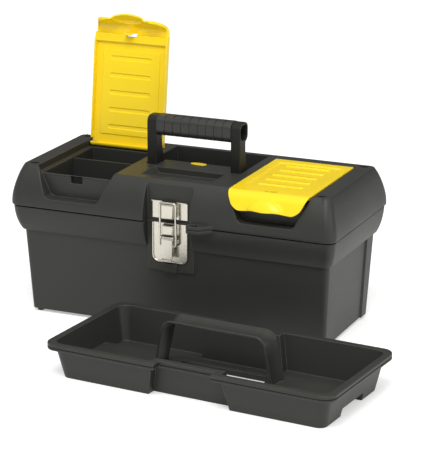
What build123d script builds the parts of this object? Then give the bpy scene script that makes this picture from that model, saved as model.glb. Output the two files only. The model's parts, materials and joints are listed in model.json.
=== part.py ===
"""A plastic toolbox with a lift-out tray.

A drafted tub with a bulging collar carries a hinged lid. The lid holds two organiser
compartments under small lids of their own, a folding handle and the keeper of a draw latch.
Millimetres, +X to the right, +Y to the rear, +Z up. The box is drawn about its own middle,
and every piece is moved to the part's origin as it is written.
"""

import os

from build123d import *

# Part origin: middle of box and tray together on the floor, seen from the box's middle
ORIGIN_X = 45.5
ORIGIN_Y = -98.0

# Box outline
LENGTH = 406.0
DEPTH = 188.0
CORNER = 12.5
CORNER_TAPER = 0.35
PART_Z = 136.0
COLLAR_Z = 104.0
TOP_Z = 183.5
LID_GAP = 0.3
WALL = 2.6
SKIN = 2.4
CUT = 1.0

# Outer curves as height, set-in from the lid's lower edge and set-in of the ends
PART_SLIT = 1.0
COLLAR_CURVE = (
    (COLLAR_Z, 12.0, 8.4),
    (110.0, 8.6, 5.8),
    (120.0, 4.4, 3.2),
    (PART_Z - PART_SLIT, 1.8, 1.6),
)
LID_CURVE = (
    (PART_Z + LID_GAP, 0.0, 0.0),
    (150.0, 1.0, 0.8),
    (163.0, 5.0, 3.8),
    (175.0, 11.0, 7.8),
    (TOP_Z, 17.0, 12.0),
)
LID_EDGE_ROUND = 2.5
LID_CEILING = 2.8

# Tub
TUB_Z = 3.5
TUB_FLOOR = 2.8
TUB_TOP_INSET = 15.0
TUB_FOOT_INSET = 23.0
TUB_DRAFT = (TUB_FOOT_INSET - TUB_TOP_INSET) / (COLLAR_Z - TUB_Z)
END_TOP_INSET = 11.0
END_FOOT_INSET = 16.5
END_DRAFT = (END_FOOT_INSET - END_TOP_INSET) / (COLLAR_Z - TUB_Z)
END_PANEL_HALF = 52.0
END_PANEL_DEEP = 2.0
FOOT_R = 4.0
FOOT_X = 179.0
FOOT_Y = 64.0
LEDGE_Z = 112.0
COLLAR_SPACE_INSET = 11.5
RIB_INSET = 7.0
RIB_THICK = 1.8
RIB_HIGH = 3.5

# Lid hinge
HINGE_Y = 99.0
HINGE_X = 115.0
KNUCKLE_R = 5.0
KNUCKLE_CLEAR = 0.6
HINGE_PIN_R = 2.0
LID_KNUCKLE_HALF = 10.0
BASE_KNUCKLE_LONG = 16.0
KNUCKLE_GAP = 0.4
WEB_HIGH = 5.0
RUNNING = 0.06

# Tab with an eye on the parting line
TAB_X0 = 29.0
TAB_X1 = 58.0
TAB_Y = -106.0
TAB_THICK = 4.2
TAB_BASE_Y = -88.0
TAB_LID_Y = -92.5
TAB_EYE_X = 38.0
TAB_EYE_Y = -99.5
TAB_EYE_R = 4.0

# Organisers in the lid
ORGANISER_X = 121.5
SEAT_HALF = 49.5
SEAT_FRONT_Y = -77.0
SEAT_REAR_Y = 64.0
SEAT_Z = 175.0
CELL_HALF = 44.5
CELL_FRONT_Y = -74.6
CELL_REAR_Y = 54.5
CELL_Z = 141.0
BAY_TOP = 99.0
BAY_BOTTOM = 66.0
BAY_Z = 148.0
BAY_CORNER = 8.0
BAY_REACH = 40.0
CATCH_WIDE = 14.6
CATCH_Z0 = 165.6
CATCH_Z1 = 173.8
DIVIDER_Y = 2.0
DIVIDER_THICK = 1.8
DIVIDER_TOP_Z = 173.8
DIVIDER_GROOVE = 1.2
GROOVE_PLAY = 0.15

# Organiser lids
SHEET = 2.2
SHEET_TOP_Z = 184.2
SHEET_HALF = 48.5
BARREL_Y = 58.5
BARREL_Z = 180.2
BARREL_R = 3.6
ORGANISER_PIN_R = 1.5
ORGANISER_PIN_IN = 8.0
LIP_BEND_Y = -88.5
LIP_END_Y = -96.5
LIP_END_Z = 163.0
LIP_BEND_R = 12.0
LIP_FOOT_Z = 160.2
LIP_CORNER = 9.0
LIP_PLAY = 0.8
PANEL_HALF = 38.0
PANEL_Y0 = -56.0
PANEL_Y1 = 47.0
PANEL_SINK = 1.2
BAR_LONG = 54.0
BAR_WIDE = 4.5
BAR_COUNT = 5
BAR_PITCH = 21.0
BAR_RISE = 1.0
SKIRT_HALF = 48.0
SKIRT_THICK = 2.0
SKIRT_Z = 176.2
SKIRT_Y0 = -76.4
SKIRT_Y1 = 53.0
BAND_Y1 = -66.0
BAND_Z = 178.4
TONGUE_HALF = 5.0
TONGUE_Y0 = -79.2
TONGUE_Y1 = -77.6
TONGUE_Z = 167.2
BARB_Y = -76.0
BARB_HIGH = 2.0
TONGUE_SLOT_HALF = 7.0
TONGUE_SLOT_Y1 = -73.4
DOME_R = 38.0
DOME_SINK = 31.5
DOME_LONG = 16.0
ORGANISER_OPEN = 97.0

# Handle and its well
PIVOT_Y = -5.0
PIVOT_Z = 172.0
LEG_IN = 47.0
LEG_OUT = 59.0
LEG_R = 7.5
LEG_FRONT_Y = -17.0
LEG_REAR_Y = 0.0
LEG_PLAY = 0.5
LEG_FLARE = 5.0
BAR_Z = 229.0
BAR_DEEP = 24.0
BAR_TALL = 23.0
BAR_ROUND = 8.0
CORE_DEEP = 18.0
CORE_TALL = 17.0
CORE_ROUND = 5.0
HOLLOW_DEEP = 9.0
GRIP_PROUD = 0.4
GRIP_GROOVES = 8
GROOVE_WIDE = 0.9
GROOVE_DEEP = 0.8
HANDLE_PIN_R = 2.5
HANDLE_PIN_IN = 44.3
HANDLE_PIN_OUT = 62.2
WELL_HALF = 60.0
WELL_FRONT_Y = 6.0
WELL_REAR_Y = 71.0
WELL_Z = 155.0
SLOT_Z = 159.0
SLOT_FRONT_Y = -18.3

# Dish before the handle, stacking dimples and badge
DISH_HALF = 46.0
DISH_FLOOR_HALF = 38.0
DISH_Y0 = -64.5
DISH_Y1 = -27.5
DISH_Z = 176.0
DIMPLE_X = 179.5
DIMPLE_Y = 69.5
DIMPLE_LONG = 10.5
DIMPLE_WIDE = 8.0
DIMPLE_DEEP = 4.0
BADGE_Y = -1.0
BADGE_LONG = 20.0
BADGE_WIDE = 8.0
BADGE_THICK = 1.2

# Draw latch
RECESS_HALF = 29.0
PLATE_Y = -80.5
PLATE_T = 1.4
PLATE_HALF = 22.0
PLATE_FRONT = PLATE_Y - PLATE_T
PAD_Z = 76.0
BUMP_HALF = 9.0
BUMP_Y = -84.0
BUMP_Z1 = 86.0
KEEPER_Z0 = 139.0
KEEPER_Z1 = 160.6
EAR_IN = 8.5
EAR_REACH = 3.0
HOOK_HALF = 7.5
HOOK_Y = -91.0
HOOK_Z0 = 141.0
HOOK_Z1 = 158.0
HOOK_SKIN = 1.2
HOOK_ROUND = 1.5
LATCH_Z0 = 87.0
LATCH_Z1 = 134.0
LATCH_CORNER = 8.0
RIM_WIDE = 1.6
RIM_HIGH = 1.2
BOX_HALF = 6.9
BOX_Y = -89.9
BOX_Z0 = 121.5
BOX_Z1 = 133.0
LUG_IN = 7.0
LUG_OUT = 8.2
LUG_R = 3.2
LEVER_Y = -89.0
LEVER_Z = 117.5
LEVER_PIN_R = 1.5
LEVER_HALF = 6.75
LEVER_KNUCKLE_R = 2.6
LEVER_FRONT = -91.4
LEVER_BACK = -90.2
LEVER_FOOT_Z = 92.0
LEVER_TIP_Y = -93.6
LEVER_TIP_HIGH = 1.4
LEVER_TIP_ROUND = 1.0
FLANGE_IN = 5.55
FLANGE_BACK = -86.2
FLANGE_Z0 = 97.0
FLANGE_Z1 = 114.0
WIRE_R = 1.25
BAIL_X = 9.75
BAIL_Y = -88.0
BAIL_FOOT_Z = 108.0
BAIL_END_X = 5.7
BAIL_BEND = 3.0
BAIL_GAP = 0.1
RIVET_R = 1.6
RIVET_HEAD_R = 2.8
RIVET_HEAD = 1.2
KEEPER_RIVETS_Z = (145.0, 152.5)
BOX_RIVET_Z = 127.0
PAD_RIVET_Z = 100.0
PAD_RIVET_BACK_Y = -73.8
BOSS_HALF = 5.0

# Tray
TRAY_LONG = 348.0
TRAY_DEEP = 164.0
TRAY_HIGH = 42.0
TRAY_CORNER = 15.0
TRAY_TAPER = 0.4
TRAY_RIM = 6.0
TRAY_RIM_TOP = 3.8
TRAY_RIM_SLIT = 1.0
TRAY_RIM_LOW = 2.6
TRAY_SLIT_DEEP = 1.4
TRAY_WALL = 2.2
TRAY_FOOT_INSET = 15.0
TRAY_NOTCH_HALF = 34.0
TRAY_NOTCH_DEEP = 11.0
RIDGE_HALF = 26.0
RIDGE_HIGH = 9.0
ARCH_TOP_Z = 67.0
ARCH_TOP_HALF = 59.0
ARCH_FOOT_HALF = 70.0
ARCH_DEEP = 28.0
ARCH_THICK = 2.6
ARCH_SAG = 3.5
ARCH_BEND = 10.0
TRAY_HOLE_HALF = 56.0
TRAY_HOLE_DEEP = 38.0
TRAY_X = 114.0
TRAY_Y = -205.0
TRAY_YAW = -4.9


def block(low, high, mode=Mode.ADD):
    """A box between two corners."""
    middle = tuple((a + b) / 2 for a, b in zip(low, high))
    with Locations(middle):
        Box(*(b - a for a, b in zip(low, high)), mode=mode)


def outline(z, inset, end_inset=None):
    """The box's rounded outline at height z, set in from the lid's lower edge."""
    end = inset if end_inset is None else end_inset
    with BuildSketch(Plane.XY.offset(z)) as face:
        RectangleRounded(LENGTH - 2 * end, DEPTH - 2 * inset, CORNER - CORNER_TAPER * inset)
    return face.sketch


def rod_x(x0, x1, y, z, radius, mode=Mode.ADD):
    """A cylinder along X."""
    with BuildSketch(Plane.YZ.offset(x0)) as face:
        with Locations((y, z)):
            Circle(radius)
    extrude(face.sketch, amount=x1 - x0, mode=mode)


def rod_y(y0, y1, x, z, radius, mode=Mode.ADD):
    """A cylinder along Y."""
    with BuildSketch(Plane.XZ.offset(-y0)) as face:
        with Locations((x, z)):
            Circle(radius)
    extrude(face.sketch, amount=y0 - y1, mode=mode)


# Base: tub, collar, hinge knuckles, latch pad and eye tab
def end_panel(side, shift, half, mode):
    """The flat panel sunk into a tub end, between its corner posts."""
    foot_x = LENGTH / 2 - END_FOOT_INSET - shift - END_DRAFT * TUB_Z
    top_x = LENGTH / 2 - END_TOP_INSET - shift
    with BuildSketch(Plane.XZ.offset(-half)) as face:
        with BuildLine():
            Polyline(
                (side * foot_x, 0),
                (side * LENGTH / 2, 0),
                (side * LENGTH / 2, COLLAR_Z),
                (side * top_x, COLLAR_Z),
                close=True,
            )
        make_face()
    extrude(face.sketch, amount=2 * half, mode=mode)


def latch_recess(z0, grow, mode):
    """The upright recess that the latch lies in."""
    block(
        (-RECESS_HALF - grow, -DEPTH, z0 - grow),
        (RECESS_HALF + grow, PLATE_Y + grow, TOP_Z - CUT),
        mode,
    )


def tab(z0, z1, inner_y):
    """Half of the tab with its eye."""
    with BuildSketch(Plane.XY.offset(z0)) as face:
        with BuildLine():
            Polyline(
                (TAB_X0, inner_y),
                (TAB_X0, TAB_Y),
                (TAB_EYE_X + 2 * TAB_EYE_R, TAB_Y),
                (TAB_X1, -DEPTH / 2),
                (TAB_X1, inner_y),
                close=True,
            )
        make_face()
        fillet(face.vertices().group_by(Axis.Y)[0], TAB_EYE_R)
        with Locations((TAB_EYE_X, TAB_EYE_Y)):
            Circle(TAB_EYE_R, mode=Mode.SUBTRACT)
    return extrude(face.sketch, amount=z1 - z0, mode=Mode.PRIVATE)


def tub_inset(z):
    """Set-in of the tub's front and rear walls at height z."""
    return TUB_TOP_INSET + TUB_DRAFT * (COLLAR_Z - z)


def tub_outline(z, grow):
    """The tub's outline at height z, set in further by grow."""
    end = END_TOP_INSET + END_DRAFT * (COLLAR_Z - z)
    return outline(z, tub_inset(z) + grow, end + grow)


def latch_pad(half, front_y, top_z):
    """A raised pad on the tub's front, rooted in the middle of its drafted wall."""
    with BuildSketch(Plane.YZ.offset(-half)) as face:
        with BuildLine():
            Polyline(
                (front_y, PAD_Z),
                (front_y, top_z),
                (tub_inset(top_z) + WALL / 2 - DEPTH / 2, top_z),
                (tub_inset(PAD_Z) + WALL / 2 - DEPTH / 2, PAD_Z),
                close=True,
            )
        make_face()
    extrude(face.sketch, amount=2 * half)


with BuildPart() as tub_space:
    floor_z = TUB_Z + TUB_FLOOR
    loft(
        [tub_outline(z, WALL) for z in (floor_z, LEDGE_Z)],
        ruled=True,
    )
    loft(
        [outline(LEDGE_Z, COLLAR_SPACE_INSET), outline(PART_Z + RIB_HIGH + CUT, RIB_INSET + RIB_THICK)],
        ruled=True,
    )
    for side in (-1, 1):
        end_panel(side, END_PANEL_DEEP + WALL, END_PANEL_HALF + WALL, Mode.SUBTRACT)
    latch_recess(COLLAR_Z, SKIN, Mode.SUBTRACT)

with BuildPart() as base_tub:
    loft([tub_outline(z, 0) for z in (TUB_Z, COLLAR_Z)], ruled=True)
    for side in (-1, 1):
        end_panel(side, END_PANEL_DEEP, END_PANEL_HALF, Mode.SUBTRACT)
    loft([outline(z, inset, end) for z, inset, end in COLLAR_CURVE])
    extrude(outline(PART_Z - PART_SLIT, RIB_INSET), amount=PART_SLIT + RIB_HIGH)
    gap_half = RECESS_HALF + SKIN + CUT
    block((-gap_half, -DEPTH, PART_Z), (gap_half, 0, PART_Z + RIB_HIGH), Mode.SUBTRACT)
    latch_pad(RECESS_HALF, PLATE_Y, COLLAR_Z)
    latch_recess(COLLAR_Z, 0, Mode.SUBTRACT)
    latch_pad(BUMP_HALF, BUMP_Y, BUMP_Z1)
    add(tab(PART_Z - TAB_THICK, PART_Z, TAB_BASE_Y))
    add(tub_space.part, mode=Mode.SUBTRACT)
    block(
        (-BOSS_HALF, PLATE_Y + CUT, PAD_RIVET_Z - BOSS_HALF),
        (BOSS_HALF, PAD_RIVET_BACK_Y, PAD_RIVET_Z + BOSS_HALF),
    )
    for middle in (-HINGE_X, HINGE_X):
        for side in (-1, 1):
            near = middle + side * (LID_KNUCKLE_HALF + KNUCKLE_GAP)
            far = near + side * BASE_KNUCKLE_LONG
            rod_x(min(near, far), max(near, far), HINGE_Y, PART_Z, KNUCKLE_R)
            block(
                (min(near, far), DEPTH / 2 - RIB_INSET, PART_Z - WEB_HIGH),
                (max(near, far), HINGE_Y, PART_Z),
            )
    for middle in (-HINGE_X, HINGE_X):
        half = LID_KNUCKLE_HALF + KNUCKLE_GAP + BASE_KNUCKLE_LONG
        rod_x(middle - half, middle + half, HINGE_Y, PART_Z, HINGE_PIN_R, Mode.SUBTRACT)
    with Locations([(x, y, 0) for x in (-FOOT_X, FOOT_X) for y in (-FOOT_Y, FOOT_Y)]):
        Cylinder(FOOT_R, TUB_Z + CUT, align=(Align.CENTER, Align.CENTER, Align.MIN))
    rod_y(PAD_RIVET_BACK_Y, PLATE_Y - CUT, 0, PAD_RIVET_Z, RIVET_R, Mode.SUBTRACT)
    rod_y(PLATE_Y + SKIN, PLATE_Y - CUT, 0, BOX_RIVET_Z, RIVET_R, Mode.SUBTRACT)

with BuildPart() as lid_hinge_pins:
    for middle in (-HINGE_X, HINGE_X):
        half = LID_KNUCKLE_HALF + KNUCKLE_GAP + BASE_KNUCKLE_LONG
        rod_x(middle - half, middle + half, HINGE_Y, PART_Z, HINGE_PIN_R)


# Lid: a curved shell with wells moulded into it
def organiser_well(side, grow, mode):
    """The seat of an organiser lid and the compartment below it."""
    x = side * ORGANISER_X
    block(
        (x - SEAT_HALF - grow, SEAT_FRONT_Y - grow, SEAT_Z - grow),
        (x + SEAT_HALF + grow, SEAT_REAR_Y + grow, TOP_Z + CUT),
        mode,
    )
    block(
        (x - CELL_HALF - grow, CELL_FRONT_Y - grow, CELL_Z - grow),
        (x + CELL_HALF + grow, CELL_REAR_Y + grow, TOP_Z),
        mode,
    )


def front_bay(side, grow, mode):
    """The opening in the lid's front below an organiser's lip."""
    x = side * ORGANISER_X
    with BuildSketch(Plane.XZ.offset(-SEAT_FRONT_Y - grow)) as face:
        with BuildLine():
            Polyline(
                (x - BAY_BOTTOM / 2 - grow, BAY_Z - grow),
                (x + BAY_BOTTOM / 2 + grow, BAY_Z - grow),
                (x + BAY_TOP / 2 + grow, TOP_Z + CUT),
                (x - BAY_TOP / 2 - grow, TOP_Z + CUT),
                close=True,
            )
        make_face()
        fillet(face.vertices().group_by(Axis.Y)[0], BAY_CORNER + grow)
    extrude(face.sketch, amount=BAY_REACH, mode=mode)


def handle_well(grow, mode):
    """The well that the handle folds into, with a slot for each leg."""
    block(
        (-WELL_HALF - grow, WELL_FRONT_Y - grow, WELL_Z - grow),
        (WELL_HALF + grow, WELL_REAR_Y + grow, TOP_Z + CUT),
        mode,
    )
    for x0, x1 in ((-WELL_HALF, LEG_PLAY - LEG_IN), (LEG_IN - LEG_PLAY, WELL_HALF)):
        block(
            (x0 - grow, SLOT_FRONT_Y - grow, SLOT_Z - grow),
            (x1 + grow, WELL_FRONT_Y + CUT, TOP_Z + CUT),
            mode,
        )


def dish(grow, mode):
    """The shallow dish before the handle."""
    with BuildSketch(Plane.XZ.offset(-DISH_Y1 - grow)) as face:
        with BuildLine():
            Polyline(
                (-DISH_FLOOR_HALF - grow, DISH_Z - grow),
                (DISH_FLOOR_HALF + grow, DISH_Z - grow),
                (DISH_HALF + grow, TOP_Z + CUT),
                (-DISH_HALF - grow, TOP_Z + CUT),
                close=True,
            )
        make_face()
    extrude(face.sketch, amount=DISH_Y1 - DISH_Y0 + 2 * grow, mode=mode)


def dimples(grow, mode):
    """The four oval stacking sockets."""
    with BuildSketch(Plane.XY.offset(TOP_Z - DIMPLE_DEEP - grow)) as face:
        with Locations([(x, y) for x in (-DIMPLE_X, DIMPLE_X) for y in (-DIMPLE_Y, DIMPLE_Y)]):
            Ellipse(DIMPLE_LONG / 2 + grow, DIMPLE_WIDE / 2 + grow)
    extrude(face.sketch, amount=DIMPLE_DEEP + grow + CUT, mode=mode)


def lid_wells(grow, mode):
    """Everything that is sunk into the lid."""
    for side in (-1, 1):
        organiser_well(side, grow, mode)
        front_bay(side, grow, mode)
    handle_well(grow, mode)
    dish(grow, mode)
    dimples(grow, mode)
    latch_recess(PART_Z - CUT, grow, mode)


with BuildPart() as lid_space:
    rise = TOP_Z - PART_Z
    loft(
        [
            outline(z - LID_CEILING * (z - PART_Z) / rise, inset + WALL, end + WALL)
            for z, inset, end in LID_CURVE
        ]
    )
    lid_wells(SKIN, Mode.SUBTRACT)

with BuildPart() as lid_shell:
    loft([outline(z, inset, end) for z, inset, end in LID_CURVE])
    fillet(lid_shell.faces().sort_by(Axis.Z)[-1].edges(), LID_EDGE_ROUND)
    add(lid_space.part, mode=Mode.SUBTRACT)
    lid_wells(0, Mode.SUBTRACT)
    add(tab(PART_Z + LID_GAP, PART_Z + LID_GAP + TAB_THICK, TAB_LID_Y))
    for middle in (-HINGE_X, HINGE_X):
        half = LID_KNUCKLE_HALF + KNUCKLE_GAP + BASE_KNUCKLE_LONG + KNUCKLE_CLEAR
        rod_x(middle - half, middle + half, HINGE_Y, PART_Z, KNUCKLE_R + KNUCKLE_CLEAR, Mode.SUBTRACT)
        low, high = middle - LID_KNUCKLE_HALF, middle + LID_KNUCKLE_HALF
        rod_x(low, high, HINGE_Y, PART_Z, KNUCKLE_R)
        block((low, DEPTH / 2 - WALL, PART_Z + LID_GAP), (high, HINGE_Y, PART_Z + WEB_HIGH))
        rod_x(low, high, HINGE_Y, PART_Z, HINGE_PIN_R + RUNNING, Mode.SUBTRACT)
    for side in (-1, 1):
        x = side * ORGANISER_X
        block(
            (x - CATCH_WIDE / 2, SEAT_FRONT_Y - CUT, CATCH_Z0),
            (x + CATCH_WIDE / 2, CELL_FRONT_Y + CUT, CATCH_Z1),
            Mode.SUBTRACT,
        )
        groove = DIVIDER_THICK / 2 + GROOVE_PLAY
        reach = CELL_HALF + DIVIDER_GROOVE
        block(
            (x - reach, DIVIDER_Y - groove, CELL_Z),
            (x + reach, DIVIDER_Y + groove, SEAT_Z),
            Mode.SUBTRACT,
        )
        reach = SEAT_HALF + SKIN
        rod_x(x - reach, x + reach, BARREL_Y, BARREL_Z, ORGANISER_PIN_R, Mode.SUBTRACT)
        pin_in, pin_out = sorted((side * HANDLE_PIN_IN, side * HANDLE_PIN_OUT))
        rod_x(pin_in, pin_out, PIVOT_Y, PIVOT_Z, HANDLE_PIN_R, Mode.SUBTRACT)
    for z in KEEPER_RIVETS_Z:
        rod_y(PLATE_Y + SKIN, PLATE_Y - CUT, 0, z, RIVET_R, Mode.SUBTRACT)


def divider(side):
    """The loose wall that halves a compartment."""
    reach = CELL_HALF + DIVIDER_GROOVE - GROOVE_PLAY
    x = side * ORGANISER_X
    with BuildPart() as plate:
        block(
            (x - reach, DIVIDER_Y - DIVIDER_THICK / 2, CELL_Z),
            (x + reach, DIVIDER_Y + DIVIDER_THICK / 2, DIVIDER_TOP_Z),
        )
        fillet(plate.edges().filter_by(Axis.X).group_by(Axis.Z)[-1], DIVIDER_THICK / 3)
    return plate


left_divider = divider(-1)
right_divider = divider(1)

with BuildPart() as badge:
    with BuildSketch(Plane.XY.offset(TOP_Z)):
        with Locations((0, BADGE_Y)):
            Ellipse(BADGE_LONG / 2, BADGE_WIDE / 2)
    extrude(amount=BADGE_THICK)
    fillet(badge.edges().group_by(Axis.Z)[-1], BADGE_THICK / 2)


# Organiser lids: one bent sheet with a turned-down lip, skirts and a catch tongue
def organiser_lid(side):
    """An organiser's lid, closed."""
    x = side * ORGANISER_X
    under_z = SHEET_TOP_Z - SHEET
    panel_z = SHEET_TOP_Z - PANEL_SINK
    with BuildPart() as lid:
        with BuildSketch(Plane.YZ.offset(x - SHEET_HALF)):
            with BuildLine():
                sheet = FilletPolyline(
                    (BARREL_Y, SHEET_TOP_Z),
                    (LIP_BEND_Y, SHEET_TOP_Z),
                    (LIP_END_Y, LIP_END_Z),
                    radius=LIP_BEND_R,
                )
                offset(sheet, amount=SHEET, side=Side.LEFT)
            make_face()
        extrude(amount=2 * SHEET_HALF)
        add(lip_bounds(x), mode=Mode.INTERSECT)
        with BuildSketch(Plane.XY.offset(panel_z)):
            with Locations((x, (PANEL_Y0 + PANEL_Y1) / 2)):
                RectangleRounded(2 * PANEL_HALF, PANEL_Y1 - PANEL_Y0, SHEET)
        extrude(amount=PANEL_SINK + CUT, mode=Mode.SUBTRACT)
        with BuildSketch(Plane.XY.offset(panel_z - SHEET)):
            with Locations((x, (PANEL_Y0 + PANEL_Y1) / 2)):
                Rectangle(2 * (PANEL_HALF + SHEET), PANEL_Y1 - PANEL_Y0 + 2 * SHEET)
        extrude(amount=SHEET)
        with BuildSketch(Plane.XY.offset(panel_z)):
            with Locations((x, (PANEL_Y0 + PANEL_Y1) / 2)):
                with GridLocations(0, BAR_PITCH, 1, BAR_COUNT):
                    SlotOverall(BAR_LONG, BAR_WIDE)
        extrude(amount=BAR_RISE)
        with BuildSketch(Plane.XY.offset(panel_z - SHEET)):
            with Locations((x, (PANEL_Y0 + PANEL_Y1) / 2)):
                with GridLocations(0, BAR_PITCH, 1, BAR_COUNT):
                    SlotOverall(BAR_LONG - SHEET, BAR_WIDE - SHEET)
        extrude(amount=BAR_RISE, mode=Mode.SUBTRACT)
        for edge in (x - SKIRT_HALF, x + SKIRT_HALF - SKIRT_THICK):
            block((edge, SKIRT_Y0, SKIRT_Z), (edge + SKIRT_THICK, SKIRT_Y1, under_z))
        block((x - SKIRT_HALF, SKIRT_Y0, BAND_Z), (x + SKIRT_HALF, BAND_Y1, under_z))
        block(
            (x - TONGUE_SLOT_HALF, TONGUE_Y1, SKIRT_Z),
            (x + TONGUE_SLOT_HALF, TONGUE_SLOT_Y1, SHEET_TOP_Z + CUT),
            Mode.SUBTRACT,
        )
        block((x - TONGUE_HALF, TONGUE_Y0, TONGUE_Z), (x + TONGUE_HALF, TONGUE_Y1, under_z))
        block(
            (x - TONGUE_HALF, TONGUE_Y1, TONGUE_Z),
            (x + TONGUE_HALF, BARB_Y, TONGUE_Z + BARB_HIGH),
        )
        add(thumb_dome(x))
        rod_x(x - SHEET_HALF, x + SHEET_HALF, BARREL_Y, BARREL_Z, BARREL_R)
        for end in (x - SHEET_HALF, x + SHEET_HALF - ORGANISER_PIN_IN):
            rod_x(
                end,
                end + ORGANISER_PIN_IN,
                BARREL_Y,
                BARREL_Z,
                ORGANISER_PIN_R + RUNNING,
                Mode.SUBTRACT,
            )
    return lid


def lip_bounds(x):
    """The space a sheet may fill: anything behind the bay, and the bay's outline before it."""
    slope = (BAY_TOP - BAY_BOTTOM) / 2 / (TOP_Z + CUT - BAY_Z)
    foot_half = BAY_BOTTOM / 2 + slope * (LIP_FOOT_Z - BAY_Z) - LIP_PLAY
    top_half = BAY_TOP / 2 + slope * CUT - LIP_PLAY
    with BuildPart() as bounds:
        with BuildSketch(Plane.XZ.offset(-SEAT_FRONT_Y)) as face:
            with BuildLine():
                Polyline(
                    (x - foot_half, LIP_FOOT_Z),
                    (x + foot_half, LIP_FOOT_Z),
                    (x + top_half, TOP_Z + 2 * CUT),
                    (x - top_half, TOP_Z + 2 * CUT),
                    close=True,
                )
            make_face()
            fillet(face.vertices().group_by(Axis.Y)[0], LIP_CORNER)
        extrude(amount=BAY_REACH)
        block((x - SEAT_HALF, SEAT_FRONT_Y, BAY_Z), (x + SEAT_HALF, DEPTH / 2, TOP_Z + 2 * CUT))
    return bounds.part


def thumb_dome(x):
    """The shallow thumb bulge at the lip's lower edge."""
    foot = Vector(x, LIP_END_Y, LIP_END_Z)
    up_lip = (Vector(x, LIP_BEND_Y, SHEET_TOP_Z) - foot).normalized()
    lip = Plane(origin=foot, x_dir=(1, 0, 0), z_dir=up_lip.cross(Vector(1, 0, 0)) * -1)
    axis_plane = Plane(origin=foot - lip.z_dir * DOME_SINK, x_dir=(1, 0, 0), z_dir=up_lip)
    with BuildPart() as dome:
        with Locations(axis_plane):
            Cone(
                DOME_R,
                DOME_SINK,
                DOME_LONG,
                align=(Align.CENTER, Align.CENTER, Align.MIN),
            )
        split(bisect_by=lip.offset(-SHEET / 2), keep=Keep.TOP)
    return dome.part


def organiser_pins(side):
    """The two stub pins of an organiser's hinge."""
    x = side * ORGANISER_X
    with BuildPart() as pins:
        near = SHEET_HALF - ORGANISER_PIN_IN + CUT
        far = SEAT_HALF + SKIN
        rod_x(x - far, x - near, BARREL_Y, BARREL_Z, ORGANISER_PIN_R)
        rod_x(x + near, x + far, BARREL_Y, BARREL_Z, ORGANISER_PIN_R)
    return pins


right_organiser_lid = organiser_lid(1)
left_organiser_lid = organiser_lid(-1)
left_organiser_lid.part = left_organiser_lid.part.rotate(
    Axis((0, BARREL_Y, BARREL_Z), (1, 0, 0)), -ORGANISER_OPEN
)
left_organiser_pins = organiser_pins(-1)
right_organiser_pins = organiser_pins(1)

# Handle: two legs and a core bar, with a ribbed grip round the bar
with BuildPart() as handle_frame:
    for x0, x1, outer in ((-LEG_OUT, -LEG_IN, -1), (LEG_IN, LEG_OUT, 1)):
        with BuildSketch(Plane.YZ.offset(x0)):
            with Locations((PIVOT_Y, PIVOT_Z)):
                Circle(LEG_R)
            with BuildLine():
                Polyline(
                    (PIVOT_Y - LEG_R, PIVOT_Z),
                    (LEG_FRONT_Y, TOP_Z - CUT),
                    (LEG_FRONT_Y, BAR_Z),
                    (LEG_REAR_Y, BAR_Z),
                    (LEG_REAR_Y, TOP_Z + 4 * LEG_FLARE),
                    (LEG_REAR_Y + LEG_FLARE, TOP_Z + CUT),
                    (PIVOT_Y + LEG_R, PIVOT_Z),
                    close=True,
                )
            make_face()
            with Locations((PIVOT_Y, BAR_Z)):
                RectangleRounded(BAR_DEEP, BAR_TALL, BAR_ROUND)
        extrude(amount=x1 - x0)
        with BuildSketch(Plane.YZ.offset(x1 if outer > 0 else x0)):
            with Locations((PIVOT_Y, BAR_Z)):
                RectangleRounded(CORE_DEEP, CORE_TALL, CORE_ROUND)
        extrude(amount=-outer * HOLLOW_DEEP, mode=Mode.SUBTRACT)
    with BuildSketch(Plane.YZ.offset(-LEG_IN)):
        with Locations((PIVOT_Y, BAR_Z)):
            RectangleRounded(CORE_DEEP, CORE_TALL, CORE_ROUND)
    extrude(amount=2 * LEG_IN)
    rod_x(-LEG_OUT, LEG_OUT, PIVOT_Y, PIVOT_Z, HANDLE_PIN_R + RUNNING, Mode.SUBTRACT)

with BuildPart() as handle_grip:
    with BuildSketch(Plane.YZ.offset(-LEG_IN)):
        with Locations((PIVOT_Y, BAR_Z)):
            RectangleRounded(BAR_DEEP + 2 * GRIP_PROUD, BAR_TALL + 2 * GRIP_PROUD, BAR_ROUND)
            RectangleRounded(CORE_DEEP, CORE_TALL, CORE_ROUND, mode=Mode.SUBTRACT)
    extrude(amount=2 * LEG_IN)
    pitch = 2 * LEG_IN / (GRIP_GROOVES + 1)
    for number in range(1, GRIP_GROOVES + 1):
        with BuildSketch(Plane.YZ.offset(-LEG_IN + number * pitch - GROOVE_WIDE / 2)):
            with Locations((PIVOT_Y, BAR_Z)):
                Rectangle(2 * BAR_DEEP, 2 * BAR_TALL)
                RectangleRounded(
                    BAR_DEEP + 2 * (GRIP_PROUD - GROOVE_DEEP),
                    BAR_TALL + 2 * (GRIP_PROUD - GROOVE_DEEP),
                    BAR_ROUND - GROOVE_DEEP,
                    mode=Mode.SUBTRACT,
                )
        extrude(amount=GROOVE_WIDE, mode=Mode.SUBTRACT)

with BuildPart() as handle_pins:
    rod_x(-HANDLE_PIN_OUT, -HANDLE_PIN_IN, PIVOT_Y, PIVOT_Z, HANDLE_PIN_R)
    rod_x(HANDLE_PIN_IN, HANDLE_PIN_OUT, PIVOT_Y, PIVOT_Z, HANDLE_PIN_R)

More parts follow.
